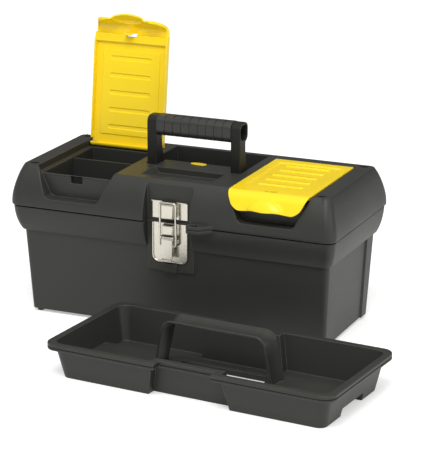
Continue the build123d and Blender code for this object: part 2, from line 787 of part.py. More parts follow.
# Draw latch: keeper on the lid, plate on the tub, lever and wire bail
with BuildPart() as keeper_plate:
    block((-PLATE_HALF, PLATE_FRONT, KEEPER_Z0), (PLATE_HALF, PLATE_Y, KEEPER_Z1))
    for x0, x1 in ((-PLATE_HALF, -EAR_IN), (EAR_IN, PLATE_HALF)):
        block((x0, PLATE_FRONT - EAR_REACH, KEEPER_Z1 - PLATE_T), (x1, PLATE_Y, KEEPER_Z1))
    block((-EAR_IN, PLATE_FRONT - CUT, HOOK_Z1), (EAR_IN, PLATE_Y, KEEPER_Z1), Mode.SUBTRACT)
    block((-HOOK_HALF, HOOK_Y, HOOK_Z0), (HOOK_HALF, PLATE_FRONT, HOOK_Z1))
    hook_front = keeper_plate.faces().sort_by(Axis.Y)[0]
    fillet(hook_front.edges(), HOOK_ROUND)
    block(
        (HOOK_SKIN - HOOK_HALF, HOOK_Y + HOOK_SKIN, HOOK_Z0),
        (HOOK_HALF - HOOK_SKIN, PLATE_FRONT, HOOK_Z1 - HOOK_SKIN),
        Mode.SUBTRACT,
    )
    for z in KEEPER_RIVETS_Z:
        rod_y(PLATE_Y, PLATE_FRONT, 0, z, RIVET_R, Mode.SUBTRACT)

with BuildPart() as latch_plate:
    middle_z = (LATCH_Z0 + LATCH_Z1) / 2
    with BuildSketch(Plane.XZ.offset(-PLATE_Y)) as latch_face:
        with Locations((0, middle_z)):
            Rectangle(2 * PLATE_HALF, LATCH_Z1 - LATCH_Z0)
        fillet(latch_face.vertices().group_by(Axis.Y)[0], LATCH_CORNER)
    extrude(amount=PLATE_T)
    with BuildSketch(Plane.XZ.offset(-PLATE_FRONT)) as rim_face:
        add(latch_face.sketch_local)
        offset(latch_face.sketch_local, amount=-RIM_WIDE, mode=Mode.SUBTRACT)
        with Locations((0, LATCH_Z1)):
            Rectangle(2 * PLATE_HALF - 2 * RIM_WIDE, 4 * RIM_WIDE, mode=Mode.SUBTRACT)
    extrude(amount=RIM_HIGH)
    block((-BOX_HALF, BOX_Y, BOX_Z0), (BOX_HALF, PLATE_FRONT, BOX_Z1))
    fillet(latch_plate.faces().sort_by(Axis.Y)[0].edges(), HOOK_ROUND)
    block(
        (HOOK_SKIN - BOX_HALF, BOX_Y + HOOK_SKIN, BOX_Z0),
        (BOX_HALF - HOOK_SKIN, PLATE_FRONT, BOX_Z1 - HOOK_SKIN),
        Mode.SUBTRACT,
    )
    for x0, x1 in ((-LUG_OUT, -LUG_IN), (LUG_IN, LUG_OUT)):
        rod_x(x0, x1, LEVER_Y, LEVER_Z, LUG_R)
        block((x0, LEVER_Y, LEVER_Z - LUG_R), (x1, PLATE_FRONT, LEVER_Z + LUG_R))
    rod_x(-LUG_OUT, LUG_OUT, LEVER_Y, LEVER_Z, LEVER_PIN_R, Mode.SUBTRACT)
    for z in (PAD_RIVET_Z, BOX_RIVET_Z):
        rod_y(PLATE_Y, PLATE_FRONT, 0, z, RIVET_R, Mode.SUBTRACT)

with BuildPart() as lever_pin:
    rod_x(-LUG_OUT, LUG_OUT, LEVER_Y, LEVER_Z, LEVER_PIN_R)

with BuildPart() as latch_lever:
    block((-LEVER_HALF, LEVER_FRONT, LEVER_FOOT_Z), (LEVER_HALF, LEVER_BACK, LEVER_Z))
    block(
        (-LEVER_HALF, LEVER_TIP_Y, LEVER_FOOT_Z),
        (LEVER_HALF, LEVER_BACK, LEVER_FOOT_Z + LEVER_TIP_HIGH),
    )
    rod_x(-LEVER_HALF, LEVER_HALF, LEVER_Y, LEVER_Z, LEVER_KNUCKLE_R)
    for x0, x1 in ((-LEVER_HALF, -FLANGE_IN), (FLANGE_IN, LEVER_HALF)):
        block((x0, LEVER_BACK, FLANGE_Z0), (x1, FLANGE_BACK, FLANGE_Z1))
    rod_x(-LEVER_HALF, LEVER_HALF, BAIL_Y, BAIL_FOOT_Z, WIRE_R + RUNNING, Mode.SUBTRACT)
    rod_x(-LEVER_HALF, LEVER_HALF, LEVER_Y, LEVER_Z, LEVER_PIN_R + RUNNING, Mode.SUBTRACT)
    tip = latch_lever.edges().filter_by(Axis.Y).group_by(Axis.Z)[0]
    fillet(tip.filter_by(lambda e: abs(abs(e.center().X) - LEVER_HALF) < 0.01), LEVER_TIP_ROUND)

with BuildPart() as latch_bail:
    bar_z = HOOK_Z1 + WIRE_R + BAIL_GAP
    with BuildLine():
        FilletPolyline(
            (BAIL_END_X, BAIL_Y, BAIL_FOOT_Z),
            (BAIL_X, BAIL_Y, BAIL_FOOT_Z),
            (BAIL_X, BAIL_Y, bar_z),
            (-BAIL_X, BAIL_Y, bar_z),
            (-BAIL_X, BAIL_Y, BAIL_FOOT_Z),
            (-BAIL_END_X, BAIL_Y, BAIL_FOOT_Z),
            radius=BAIL_BEND,
        )
    with BuildSketch(Plane((BAIL_END_X, BAIL_Y, BAIL_FOOT_Z), z_dir=(1, 0, 0))):
        Circle(WIRE_R)
    sweep()


def rivet(z, inner_y):
    """A rivet through a plate and the plastic behind it."""
    rod_y(inner_y, PLATE_FRONT, 0, z, RIVET_R)
    rod_y(PLATE_FRONT, PLATE_FRONT - RIVET_HEAD, 0, z, RIVET_HEAD_R)
    rod_y(inner_y + RIVET_HEAD, inner_y, 0, z, RIVET_HEAD_R)


with BuildPart() as keeper_rivets:
    for z in KEEPER_RIVETS_Z:
        rivet(z, PLATE_Y + SKIN)

with BuildPart() as latch_plate_rivets:
    rivet(BOX_RIVET_Z, PLATE_Y + SKIN)
    rivet(PAD_RIVET_Z, PAD_RIVET_BACK_Y)


# Tray: a drafted pan with a rolled rim, a ridged floor and an arched handle, drawn about its middle
def tray_outline(z, inset):
    """The tray's rounded outline at height z, set in from the rim."""
    with BuildSketch(Plane.XY.offset(z)) as face:
        RectangleRounded(TRAY_LONG - 2 * inset, TRAY_DEEP - 2 * inset, TRAY_CORNER - TRAY_TAPER * inset)
    return face.sketch


def tray_notch(side, z, inset):
    """The outline at height z of the notch in the tray's front or rear."""
    with BuildSketch(Plane.XY.offset(z)) as face:
        with Locations((0, side * (TRAY_DEEP - TRAY_NOTCH_DEEP - inset))):
            Rectangle(2 * (TRAY_NOTCH_HALF + inset), TRAY_DEEP)
    return face.sketch


def tray_slab(z0, inset0, z1, inset1):
    """A drafted slab of the tray's outline with its two notches."""
    with BuildPart() as slab:
        loft([tray_outline(z0, inset0), tray_outline(z1, inset1)], ruled=True)
        for side in (-1, 1):
            loft(
                [tray_notch(side, z0, inset0), tray_notch(side, z1, inset1)],
                ruled=True,
                mode=Mode.SUBTRACT,
            )
    return slab.part


def ridge(half, z0, z1, mode):
    """The raised band along the tray's floor."""
    block((-TRAY_LONG / 2, -half, z0), (TRAY_LONG / 2, half, z1), mode)


with BuildPart() as tray_space:
    rim_inset = TRAY_RIM + TRAY_WALL
    add(tray_slab(TRAY_WALL, TRAY_FOOT_INSET + TRAY_WALL, TRAY_HIGH + CUT, rim_inset))
    ridge(RIDGE_HALF + TRAY_WALL, -CUT, RIDGE_HIGH + TRAY_WALL, Mode.SUBTRACT)

with BuildPart() as tray:
    add(tray_slab(0, TRAY_FOOT_INSET, TRAY_HIGH, TRAY_RIM))
    bead_z = TRAY_HIGH - TRAY_RIM_TOP
    flange_z = bead_z - TRAY_RIM_SLIT
    add(tray_slab(bead_z, 0, TRAY_HIGH, 0))
    add(tray_slab(flange_z, TRAY_SLIT_DEEP, bead_z, TRAY_SLIT_DEEP))
    add(tray_slab(flange_z - TRAY_RIM_LOW, 0, flange_z, 0))
    ridge(RIDGE_HALF, -CUT, RIDGE_HIGH, Mode.SUBTRACT)
    add(tray_space.part, mode=Mode.SUBTRACT)
    foot_z = RIDGE_HIGH + TRAY_WALL / 2
    with BuildLine() as arch:
        FilletPolyline(
            (-ARCH_FOOT_HALF, 0, foot_z),
            (-ARCH_TOP_HALF, 0, ARCH_TOP_Z - ARCH_SAG),
            (ARCH_TOP_HALF, 0, ARCH_TOP_Z - ARCH_SAG),
            (ARCH_FOOT_HALF, 0, foot_z),
            radius=ARCH_BEND,
        )
    with BuildSketch(Plane(arch.line @ 0, x_dir=(0, 1, 0), z_dir=arch.line % 0)):
        with BuildLine():
            gutter = ThreePointArc((-ARCH_DEEP / 2, ARCH_SAG), (0, 0), (ARCH_DEEP / 2, ARCH_SAG))
            offset(gutter, amount=ARCH_THICK, side=Side.RIGHT)
        make_face()
    sweep()
    block(
        (-TRAY_HOLE_HALF, -TRAY_HOLE_DEEP / 2, 0),
        (TRAY_HOLE_HALF, TRAY_HOLE_DEEP / 2, RIDGE_HIGH + TRAY_WALL + CUT),
        Mode.SUBTRACT,
    )
tray.part = tray.part.rotate(Axis.Z, TRAY_YAW).translate((TRAY_X, TRAY_Y, 0))

PIECES = {
    "base_tub": base_tub,
    "lid_hinge_pins": lid_hinge_pins,
    "lid_shell": lid_shell,
    "left_divider": left_divider,
    "right_divider": right_divider,
    "badge": badge,
    "left_organiser_lid": left_organiser_lid,
    "right_organiser_lid": right_organiser_lid,
    "left_organiser_pins": left_organiser_pins,
    "right_organiser_pins": right_organiser_pins,
    "handle_frame": handle_frame,
    "handle_grip": handle_grip,
    "handle_pins": handle_pins,
    "keeper_plate": keeper_plate,
    "keeper_rivets": keeper_rivets,
    "latch_plate": latch_plate,
    "latch_plate_rivets": latch_plate_rivets,
    "lever_pin": lever_pin,
    "latch_lever": latch_lever,
    "latch_bail": latch_bail,
    "tray": tray,
}

os.makedirs("parts", exist_ok=True)
for name, piece in PIECES.items():
    placed = piece.part.translate((-ORIGIN_X, -ORIGIN_Y, 0))
    placed.label = name
    export_step(placed, f"parts/{name}.step")
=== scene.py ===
"""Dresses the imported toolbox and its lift-out tray, and sets them on a plain studio floor.

Metres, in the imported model's own frame: +X to the right, +Y to the rear, +Z up.
"""

import json
import math

import bmesh
import bpy
from bpy.props import FloatProperty, FloatVectorProperty, IntProperty, PointerProperty
from mathutils import Matrix, Vector


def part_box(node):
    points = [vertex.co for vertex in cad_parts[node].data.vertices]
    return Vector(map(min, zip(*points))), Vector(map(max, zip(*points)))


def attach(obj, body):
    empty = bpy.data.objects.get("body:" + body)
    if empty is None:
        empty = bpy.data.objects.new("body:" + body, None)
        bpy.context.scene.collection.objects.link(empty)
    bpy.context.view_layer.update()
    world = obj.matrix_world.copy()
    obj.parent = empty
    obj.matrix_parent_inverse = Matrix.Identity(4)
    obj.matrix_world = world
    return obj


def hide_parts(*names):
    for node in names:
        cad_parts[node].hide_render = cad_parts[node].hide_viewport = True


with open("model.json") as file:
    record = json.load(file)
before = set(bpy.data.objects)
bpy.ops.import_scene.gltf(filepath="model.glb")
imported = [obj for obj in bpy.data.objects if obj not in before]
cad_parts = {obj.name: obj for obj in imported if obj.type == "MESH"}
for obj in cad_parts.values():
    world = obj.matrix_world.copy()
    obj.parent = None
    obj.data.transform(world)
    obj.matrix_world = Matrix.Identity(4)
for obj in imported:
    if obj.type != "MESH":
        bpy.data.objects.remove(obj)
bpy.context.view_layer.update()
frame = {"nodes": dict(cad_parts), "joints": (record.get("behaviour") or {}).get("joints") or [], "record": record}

bl_info = {
    "name": "Toolbox With Tray",
    "version": (1, 0, 0),
    "blender": (4, 5, 0),
    "location": "View3D > Sidebar > Toolbox",
    "description": "Moulded finish, yellow organiser lids and a studio for a packed toolbox",
    "category": "Object",
}

MM = 0.001
WELD = 0.02 * MM
FLAT = math.radians(0.6)
CORNER = math.radians(32)
ROUNDS = "rounds"
EDGE_ROUND = 0.9 * MM
FINE_ROUND = 0.3 * MM
HINGE_BEHIND = 99 * MM
DUST = (0.42, 0.41, 0.38, 1.0)
BARE_METAL = (0.42, 0.40, 0.36, 1.0)
FLOOR_LIFT = 0.42
PIT_SHARE = 0.6
STREAK_DULLING = 0.22

BODIES = {node: body for body, nodes in frame["record"]["behaviour"]["bodies"].items() for node in nodes}
JOINTS = {joint["name"]: joint for joint in frame["joints"]}
LID_LOW, LID_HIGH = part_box("lid_shell")
TRAY_LOW, TRAY_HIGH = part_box("tray")
BOX_MIDDLE = (LID_LOW + LID_HIGH) / 2
BOX_MIDDLE_Y = JOINTS["lid_hinge"]["pos_m"][1] - HINGE_BEHIND


class ToolboxFinish(bpy.types.PropertyGroup):
    """Colours and grain of the moulded and plated surfaces."""

    charcoal: FloatVectorProperty(
        name="Charcoal",
        description="Moulded plastic of the tub, lid, handle and tray",
        subtype="COLOR",
        default=(0.026, 0.0262, 0.0225),
        min=0.0,
        max=1.0,
    )
    yellow: FloatVectorProperty(
        name="Yellow",
        description="Organiser lids and badge",
        subtype="COLOR",
        default=(0.96, 0.695, 0.012),
        min=0.0,
        max=1.0,
    )
    nickel: FloatVectorProperty(
        name="Nickel",
        description="Plated latch",
        subtype="COLOR",
        default=(0.56, 0.535, 0.465),
        min=0.0,
        max=1.0,
    )
    steel: FloatVectorProperty(
        name="Steel",
        description="Hinge and handle pins",
        subtype="COLOR",
        default=(0.45, 0.45, 0.45),
        min=0.0,
        max=1.0,
    )
    grain: FloatProperty(
        name="Grain",
        description="Width of one fleck of the moulded grain",
        default=0.7 * MM,
        min=0.1 * MM,
        max=5 * MM,
        unit="LENGTH",
    )
    # Wear also sets a painted highlight: the rounded edges of the moulded plastics are painted paler, partly as
    # rubbed plastic and partly as the light they catch.
    wear: FloatProperty(
        name="Wear",
        description="How much the rounded edges are rubbed pale",
        subtype="FACTOR",
        default=0.35,
        min=0.0,
        max=1.0,
    )


class ToolboxOrganiser(bpy.types.PropertyGroup):
    """Shape of the yellow organiser lids, measured from their hinge."""

    thickness: FloatProperty(
        name="Thickness",
        description="Wall of the sheet",
        default=2.2 * MM,
        min=MM,
        max=5 * MM,
        unit="LENGTH",
    )
    roll: FloatProperty(
        name="Roll",
        description="Radius of the hinge roll",
        default=4.0 * MM,
        min=MM,
        max=9 * MM,
        unit="LENGTH",
    )
    flat: FloatProperty(
        name="Flat",
        description="Hinge to the front bend",
        default=138.7 * MM,
        min=0.05,
        max=0.3,
        unit="LENGTH",
    )
    bend: FloatProperty(
        name="Bend",
        description="Radius of the front bend",
        default=12 * MM,
        min=MM,
        max=40 * MM,
        unit="LENGTH",
    )
    lip_angle: FloatProperty(
        name="Lip Angle",
        description="How far the lip turns down",
        default=math.radians(69.3),
        min=0.2,
        max=1.57,
        subtype="ANGLE",
    )
    lip_length: FloatProperty(
        name="Lip Length",
        description="Straight part of the lip",
        default=13.9 * MM,
        min=MM,
        max=0.1,
        unit="LENGTH",
    )
    taper: FloatProperty(
        name="Taper",
        description="How much each side draws in for its drop",
        default=0.452,
        min=0.0,
        max=1.0,
    )
    panel_start: FloatProperty(
        name="Panel Start",
        description="Hinge to the sunk panel",
        default=11.5 * MM,
        min=0.0,
        max=0.1,
        unit="LENGTH",
    )
    panel_length: FloatProperty(
        name="Panel Length",
        description="Sunk panel, front to rear",
        default=103 * MM,
        min=0.0,
        max=0.2,
        unit="LENGTH",
    )
    panel_half: FloatProperty(
        name="Panel Half",
        description="Half of the sunk panel's width",
        default=38 * MM,
        min=0.0,
        max=0.1,
        unit="LENGTH",
    )
    sink: FloatProperty(
        name="Sink",
        description="Depth of the sunk panel",
        default=1.2 * MM,
        min=0.0,
        max=5 * MM,
        unit="LENGTH",
    )
    bars: IntProperty(name="Bars", description="Number of raised bars", default=5, min=0, max=12)
    bar_pitch: FloatProperty(
        name="Bar Pitch",
        description="Bar to bar",
        default=21 * MM,
        min=MM,
        max=0.1,
        unit="LENGTH",
    )
    bar_length: FloatProperty(
        name="Bar Length",
        description="Length of a raised bar",
        default=54 * MM,
        min=MM,
        max=0.2,
        unit="LENGTH",
    )
    bar_width: FloatProperty(
        name="Bar Width",
        description="Width of a raised bar",
        default=4.6 * MM,
        min=MM,
        max=0.1,
        unit="LENGTH",
    )
    bar_rise: FloatProperty(
        name="Bar Rise",
        description="Height of a raised bar",
        default=1.2 * MM,
        min=0.0,
        max=5 * MM,
        unit="LENGTH",
    )
    dome: FloatProperty(
        name="Dome",
        description="Height of the thumb dome",
        default=6.2 * MM,
        min=0.0,
        max=9 * MM,
        unit="LENGTH",
    )


class ToolboxStage(bpy.types.PropertyGroup):
    """Camera, floor and lamps."""

    azimuth: FloatProperty(
        name="Azimuth",
        description="Camera to the right of the front",
        default=math.radians(23.93),
        subtype="ANGLE",
    )
    elevation: FloatProperty(
        name="Elevation",
        description="Camera above the horizon",
        default=math.radians(16.78),
        subtype="ANGLE",
    )
    distance: FloatProperty(
        name="Distance", description="Camera to the box's middle", default=2.5, min=0.1, unit="LENGTH"
    )
    lens: FloatProperty(name="Lens", description="Focal length in millimetres", default=169.4, min=1.0)
    floor: FloatVectorProperty(
        name="Floor",
        description="Colour of the floor",
        subtype="COLOR",
        default=(0.86, 0.86, 0.85),
        min=0.0,
        max=1.0,
    )
    key: FloatProperty(name="Key", description="Power of the main lamp", default=34.0, min=0.0)
    side: FloatProperty(name="Side", description="Power of the lamp at the right", default=7.0, min=0.0)


# Shader groups
def new_group(name, inputs, outputs):
    """A node group of float sockets, with its input and output nodes."""
    tree = bpy.data.node_groups.new(name, "ShaderNodeTree")
    for label, default in inputs.items():
        socket = tree.interface.new_socket(label, in_out="INPUT", socket_type="NodeSocketFloat")
        socket.default_value = default
    for label in outputs:
        tree.interface.new_socket(label, in_out="OUTPUT", socket_type="NodeSocketFloat")
    entry = tree.nodes.new("NodeGroupInput")
    leave = tree.nodes.new("NodeGroupOutput")
    return tree, entry, leave


def add_node(tree, kind, values=None, **settings):
    """A node with settings and socket values; a linked socket is given as (node, output)."""
    node = tree.nodes.new(kind)
    for label, value in settings.items():
        setattr(node, label, value)
    for label, value in (values or {}).items():
        if isinstance(value, tuple) and isinstance(value[0], bpy.types.Node):
            tree.links.new(value[0].outputs[value[1]], node.inputs[label])
        else:
            node.inputs[label].default_value = value
    return node


def maths(tree, operation, first, second, clamp=False):
    """A Math node on two values or (node, output) pairs."""
    return add_node(tree, "ShaderNodeMath", {0: first, 1: second}, operation=operation, use_clamp=clamp)


def grain_group():
    """Fine moulded grain with slow changes of tone and gloss."""
    tree, entry, leave = new_group(
        "Moulded Grain",
        {"Size": 0.7 * MM, "Tone Change": 0.1, "Roughness": 0.5, "Roughness Change": 0.1},
        ("Height", "Tone", "Roughness"),
    )
    place = add_node(tree, "ShaderNodeTexCoord")
    scale = maths(tree, "DIVIDE", 1.0, (entry, "Size"))
    flecks = add_node(
        tree,
        "ShaderNodeTexNoise",
        {"Vector": (place, "Object"), "Scale": (scale, 0), "Detail": 2.0, "Roughness": 0.6},
    )
    pits = add_node(
        tree,
        "ShaderNodeTexVoronoi",
        {"Vector": (place, "Object"), "Scale": (scale, 0)},
        feature="SMOOTH_F1",
    )
    height = maths(tree, "MULTIPLY_ADD", (pits, "Distance"), PIT_SHARE)
    tree.links.new(flecks.outputs["Fac"], height.inputs[2])
    clouds = add_node(
        tree,
        "ShaderNodeTexNoise",
        {"Vector": (place, "Object"), "Scale": 14.0, "Detail": 3.0, "Roughness": 0.55},
    )
    centred = maths(tree, "SUBTRACT", (clouds, "Fac"), 0.5)
    tone = maths(tree, "MULTIPLY_ADD", (centred, 0), (entry, "Tone Change"))
    tone.inputs[2].default_value = 1.0
    mixed = maths(tree, "ADD", (centred, 0), (maths(tree, "SUBTRACT", (flecks, "Fac"), 0.5), 0))
    rough = maths(tree, "MULTIPLY_ADD", (mixed, 0), (entry, "Roughness Change"), clamp=True)
    tree.links.new(entry.outputs["Roughness"], rough.inputs[2])
    tree.links.new(height.outputs[0], leave.inputs["Height"])
    tree.links.new(tone.outputs[0], leave.inputs["Tone"])
    tree.links.new(rough.outputs[0], leave.inputs["Roughness"])
    return tree


def wear_and_highlight_group():
    """A patchy mask on the rounded edges, for rubbed plating, and for rubbed plastic with a painted highlight."""
    tree, entry, leave = new_group("Edge Wear And Highlight", {"Amount": 0.3, "Patch Size": 9 * MM}, ("Mask",))
    rounds = add_node(tree, "ShaderNodeAttribute", attribute_name=ROUNDS)
    place = add_node(tree, "ShaderNodeTexCoord")
    scale = maths(tree, "DIVIDE", 1.0, (entry, "Patch Size"))
    patches = add_node(
        tree,
        "ShaderNodeTexNoise",
        {"Vector": (place, "Object"), "Scale": (scale, 0), "Detail": 4.0, "Roughness": 0.65},
    )
    spread = add_node(
        tree, "ShaderNodeMapRange", {"Value": (patches, "Fac"), "From Min": 0.35, "From Max": 0.7}, clamp=True
    )
    spots = maths(tree, "MULTIPLY", (spread, "Result"), (rounds, "Fac"))
    mask = maths(tree, "MULTIPLY", (spots, 0), (entry, "Amount"), clamp=True)
    tree.links.new(mask.outputs[0], leave.inputs["Mask"])
    return tree


def dust_group():
    """A thin mask of settled dust on faces that look up."""
    tree, entry, leave = new_group("Settled Dust", {"Amount": 0.1}, ("Mask",))
    surface = add_node(tree, "ShaderNodeNewGeometry")
    parts = add_node(tree, "ShaderNodeSeparateXYZ", {0: (surface, "Normal")})
    upward = add_node(
        tree, "ShaderNodeMapRange", {"Value": (parts, "Z"), "From Min": 0.35, "From Max": 1.0}, clamp=True
    )
    place = add_node(tree, "ShaderNodeTexCoord")
    specks = add_node(
        tree,
        "ShaderNodeTexNoise",
        {"Vector": (place, "Object"), "Scale": 45.0, "Detail": 5.0, "Roughness": 0.7},
    )
    patchy = maths(tree, "MULTIPLY", (upward, "Result"), (specks, "Fac"))
    mask = maths(tree, "MULTIPLY", (patchy, 0), (entry, "Amount"), clamp=True)
    tree.links.new(mask.outputs[0], leave.inputs["Mask"])
    return tree


def placed_group(tree, name, **values):
    """A node that places one of the shared groups, built when first asked for."""
    makers = {"Moulded Grain": grain_group, "Edge Wear And Highlight": wear_and_highlight_group, "Settled Dust": dust_group}
    node = tree.nodes.new("ShaderNodeGroup")
    node.node_tree = bpy.data.node_groups.get(name) or makers[name]()
    for label, value in values.items():
        node.inputs[label.replace("_", " ")].default_value = value
    return node


def tinted(tree, colour, factor):
    """A colour times a (node, output) factor."""
    return add_node(
        tree,
        "ShaderNodeMix",
        {"Factor": 1.0, "A": (*colour, 1.0), "B": factor},
        data_type="RGBA",
        blend_type="MULTIPLY",
    )


def colour_mix(tree, factor, first, second):
    """First colour towards second by a (node, output) factor."""
    return add_node(tree, "ShaderNodeMix", {"Factor": factor, "A": first, "B": second}, data_type="RGBA")


# Materials
def moulded_plastic(name, colour, roughness, grain, bump, wear, pale, dust, specular):
    """Injection-moulded plastic: grain, rounded edges painted paler as wear and as a painted highlight, and a
    breath of dust.
    """
    material = bpy.data.materials.get(name)
    if material:
        return material
    material = bpy.data.materials.new(name)
    material.use_nodes = True
    tree = material.node_tree
    shader = tree.nodes["Principled BSDF"]
    skin = placed_group(
        tree, "Moulded Grain", Size=grain, Tone_Change=0.16, Roughness=roughness, Roughness_Change=0.12
    )
    edge_marks = placed_group(tree, "Edge Wear And Highlight", Amount=wear)
    settled = placed_group(tree, "Settled Dust", Amount=dust)
    base = tinted(tree, colour, (skin, "Tone"))
    # Rounded edges are painted towards the pale colour: rubbed plastic, and a painted highlight where the edges
    # catch the light.
    edge_toned = colour_mix(tree, (edge_marks, "Mask"), (base, "Result"), (*pale, 1.0))
    dusty = colour_mix(tree, (settled, "Mask"), (edge_toned, "Result"), DUST)
    tree.links.new(dusty.outputs["Result"], shader.inputs["Base Color"])
    tree.links.new(skin.outputs["Roughness"], shader.inputs["Roughness"])
    relief = add_node(
        tree, "ShaderNodeBump", {"Strength": bump, "Distance": 0.15 * MM, "Height": (skin, "Height")}
    )
    tree.links.new(relief.outputs["Normal"], shader.inputs["Normal"])
    shader.inputs["Specular IOR Level"].default_value = specular
    return material


def charcoal(context, name, shade, wear_and_highlight_paling, **surface):
    """A shade of the charcoal, with rounded edges painted paler than it, as rubbed plastic and as a painted
    highlight.
    """
    finish = context.scene.toolbox_finish
    colour = tuple(shade * part for part in finish.charcoal)
    pale = tuple(wear_and_highlight_paling * part for part in colour)
    return moulded_plastic(name, colour, grain=finish.grain, wear=finish.wear, pale=pale, **surface)


def charcoal_plastic(context):
    """The grained charcoal of the tub, lid and tray."""
    surface = {"roughness": 0.48, "bump": 0.35, "dust": 0.04, "specular": 0.36}
    return charcoal(context, "moulded_charcoal", shade=1.0, wear_and_highlight_paling=2.6, **surface)


def grip_plastic(context):
    """The smoother charcoal of the handle's grip."""
    surface = {"roughness": 0.42, "bump": 0.2, "dust": 0.04, "specular": 0.5}
    return charcoal(context, "moulded_grip", shade=0.8, wear_and_highlight_paling=2.2, **surface)


def shaded_leg_plastic(context):
    """The darker, duller charcoal of the handle's legs; the darkening is painted shade."""
    surface = {"roughness": 0.5, "bump": 0.25, "dust": 0.02, "specular": 0.2}
    # Half the charcoal's tone is painted shade on the legs.
    return charcoal(context, "moulded_leg_painted_shade", shade=0.5, wear_and_highlight_paling=2.4, **surface)


def yellow_plastic(context):
    """The satin yellow of the organiser lids."""
    finish = context.scene.toolbox_finish
    material = moulded_plastic(
        "moulded_yellow",
        tuple(finish.yellow),
        roughness=0.34,
        grain=finish.grain,
        bump=0.03,
        wear=0.3 * finish.wear,
        # The pale yellow on rounded edges is rubbed plastic and a painted highlight.
        pale=(0.95, 0.78, 0.16),
        dust=0.0,
        specular=0.2,
    )
    shader = material.node_tree.nodes["Principled BSDF"]
    shader.inputs["Coat Weight"].default_value = 0.35
    shader.inputs["Coat Roughness"].default_value = 0.1
    return material


def plated_metal(name, colour, roughness, streak, wear):
    """Bright metal with fine drawn streaks and duller rubbed edges."""
    material = bpy.data.materials.get(name)
    if material:
        return material
    material = bpy.data.materials.new(name)
    material.use_nodes = True
    tree = material.node_tree
    shader = tree.nodes["Principled BSDF"]
    shader.inputs["Metallic"].default_value = 1.0
    place = add_node(tree, "ShaderNodeTexCoord")
    drawn = add_node(tree, "ShaderNodeMapping", {"Vector": (place, "Object"), "Scale": (1.0, 1.0, 0.06)})
    streaks = add_node(
        tree,
        "ShaderNodeTexNoise",
        {"Vector": (drawn, "Vector"), "Scale": 1 / streak, "Detail": 4.0, "Roughness": 0.7},
    )
    skin = placed_group(
        tree, "Moulded Grain", Size=2 * MM, Tone_Change=0.2, Roughness=roughness, Roughness_Change=0.14
    )
    edge_marks = placed_group(tree, "Edge Wear And Highlight", Amount=wear, Patch_Size=3 * MM)
    base = tinted(tree, colour, (skin, "Tone"))
    edge_toned = colour_mix(tree, (edge_marks, "Mask"), (base, "Result"), BARE_METAL)
    tree.links.new(edge_toned.outputs["Result"], shader.inputs["Base Color"])
    centred = maths(tree, "SUBTRACT", (streaks, "Fac"), 0.5)
    dulled = maths(tree, "MULTIPLY_ADD", (centred, 0), STREAK_DULLING, clamp=True)
    tree.links.new(skin.outputs["Roughness"], dulled.inputs[2])
    tree.links.new(dulled.outputs[0], shader.inputs["Roughness"])
    relief = add_node(
        tree, "ShaderNodeBump", {"Strength": 0.12, "Distance": 0.05 * MM, "Height": (streaks, "Fac")}
    )
    tree.links.new(relief.outputs["Normal"], shader.inputs["Normal"])
    return material


def nickel_plate(context):
    """The latch's bright nickel."""
    colour = tuple(context.scene.toolbox_finish.nickel)
    return plated_metal("bright_nickel", colour, roughness=0.24, streak=0.5 * MM, wear=0.5)


def drawn_steel(context):
    """The pins' plain steel."""
    colour = tuple(context.scene.toolbox_finish.steel)
    return plated_metal("drawn_steel", colour, roughness=0.36, streak=0.3 * MM, wear=0.2)


def studio_floor(context):
    """A pale floor that shows nearly white and keeps the shadow."""
    material = bpy.data.materials.new("studio_floor")
    material.use_nodes = True
    tree = material.node_tree
    shader = tree.nodes["Principled BSDF"]
    shader.inputs["Base Color"].default_value = (*context.scene.toolbox_stage.floor, 1.0)
    shader.inputs["Roughness"].default_value = 0.9
    shader.inputs["Specular IOR Level"].default_value = 0.1
    rays = add_node(tree, "ShaderNodeLightPath")
    seen = maths(tree, "MAXIMUM", (rays, "Is Camera Ray"), (rays, "Is Glossy Ray"))
    shown = maths(tree, "MAXIMUM", (seen, 0), (rays, "Is Transmission Ray"))
    lift = maths(tree, "MULTIPLY", (shown, 0), FLOOR_LIFT)
    shader.inputs["Emission Color"].default_value = (1.0, 1.0, 1.0, 1.0)
    tree.links.new(lift.outputs[0], shader.inputs["Emission Strength"])
    return material


# Mesh helpers
def even_shading(piece):
    """Smooth shading that keeps flat faces flat."""
    for polygon in piece.data.polygons:
        polygon.use_smooth = True
    normals = piece.modifiers.new("even_shading", "WEIGHTED_NORMAL")
    normals.weight = 80
    normals.keep_sharp = True


def link_piece(name, bm, node, material):
    """A new piece on the body of the CAD node that it replaces. Uses up the mesh."""
    mesh = bpy.data.meshes.new(name)
    bm.to_mesh(mesh)
    bm.free()
    mesh.materials.clear()
    mesh.materials.append(material)
    piece = bpy.data.objects.new(name, mesh)
    bpy.context.scene.collection.objects.link(piece)
    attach(piece, BODIES[node])
    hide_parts(node)
    even_shading(piece)


def mark_rounds(bm, faces):
    """Paints the rounded edges' faces, so that the wear and the painted edge highlight can find them."""
    layer = bm.loops.layers.float_color.new(ROUNDS)
    for face in bm.faces:
        for loop in face.loops:
            loop[layer] = (0.0, 0.0, 0.0, 1.0)
    for face in faces:
        if face.is_valid:
            for loop in face.loops:
                loop[layer] = (1.0, 1.0, 1.0, 1.0)


def cut_flat(bm, axis, value):
    """Cuts the mesh with a plane and keeps the cut, so that no flat face has a hole."""
    normal = Vector((0.0, 0.0, 0.0))
    normal[axis] = 1.0
    everything = bm.verts[:] + bm.edges[:] + bm.faces[:]
    cut = bmesh.ops.bisect_plane(bm, geom=everything, dist=WELD / 4, plane_co=normal * value, plane_no=normal)
    for part in cut["geom_cut"]:
        if isinstance(part, bmesh.types.BMEdge):
            part.seam = True


def round_edges(bm, edges, radius):
    """Rounds edges of a mesh and gives the new faces."""
    rounded = bmesh.ops.bevel(
        bm,
        geom=edges,
        offset=radius,
        offset_type="OFFSET",
        segments=2,
        profile=0.5,
        affect="EDGES",
        clamp_overlap=False,
        loop_slide=True,
        miter_outer="ARC",
    )
    return rounded["faces"]


